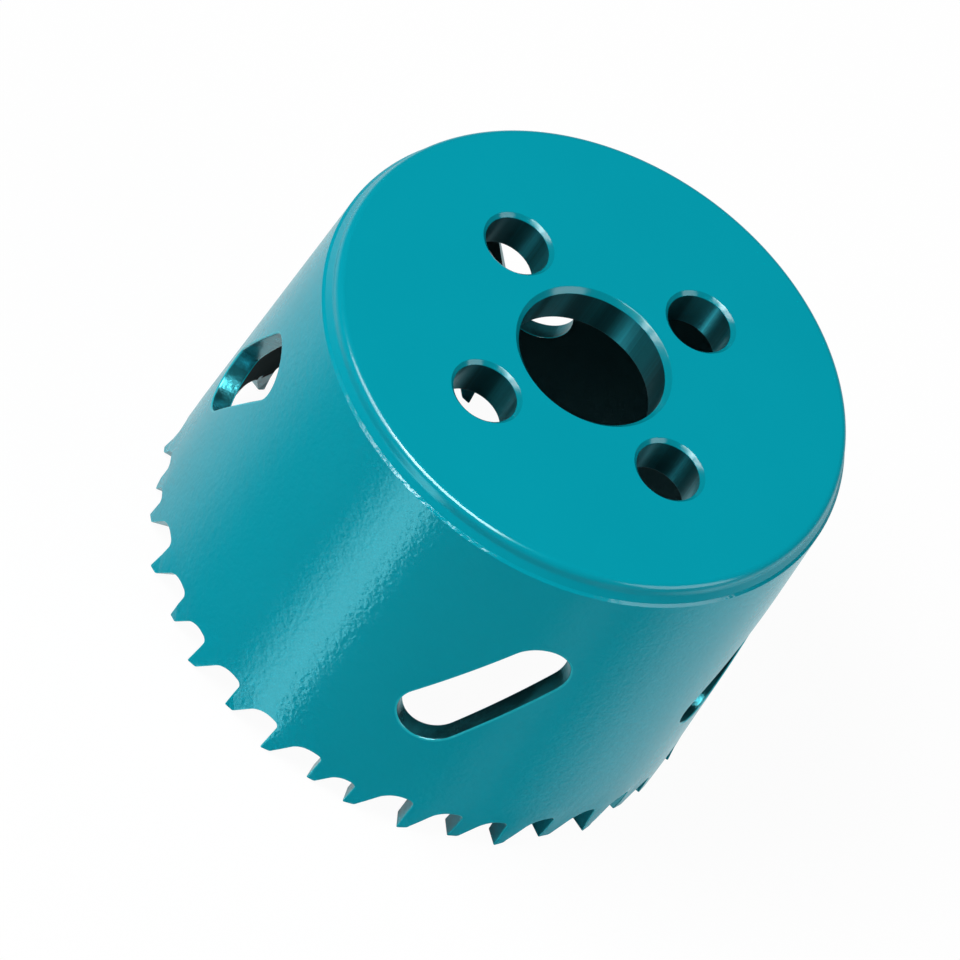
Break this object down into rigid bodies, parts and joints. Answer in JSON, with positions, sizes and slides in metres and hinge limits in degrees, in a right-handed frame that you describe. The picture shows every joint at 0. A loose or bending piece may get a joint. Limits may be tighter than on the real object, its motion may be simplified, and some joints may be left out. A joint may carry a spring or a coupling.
{
  "type": "hole saw",
  "caption": "Cup-shaped saw with variable-pitch set teeth round its rim, leaning slots in its wall and a turned end plate with an arbor bore and drive-pin holes.",
  "frame": {"origin": "on the saw's axis, in the plane of the tooth tips that it stands on", "axes": "+Z along the axis, from the teeth to the end plate; angles count from +X, anticlockwise seen from the plate"},
  "size_m": [0.0553, 0.0555, 0.0398],
  "materials": {
    "shell_enamel": "gloss enamel over rolled steel strip",
    "plate_enamel": "gloss enamel over turned steel"
  },
  "bodies": {
    "root": {"toothed_shell": "shell_enamel", "end_plate": "plate_enamel"}
  },
  "joints": []
}
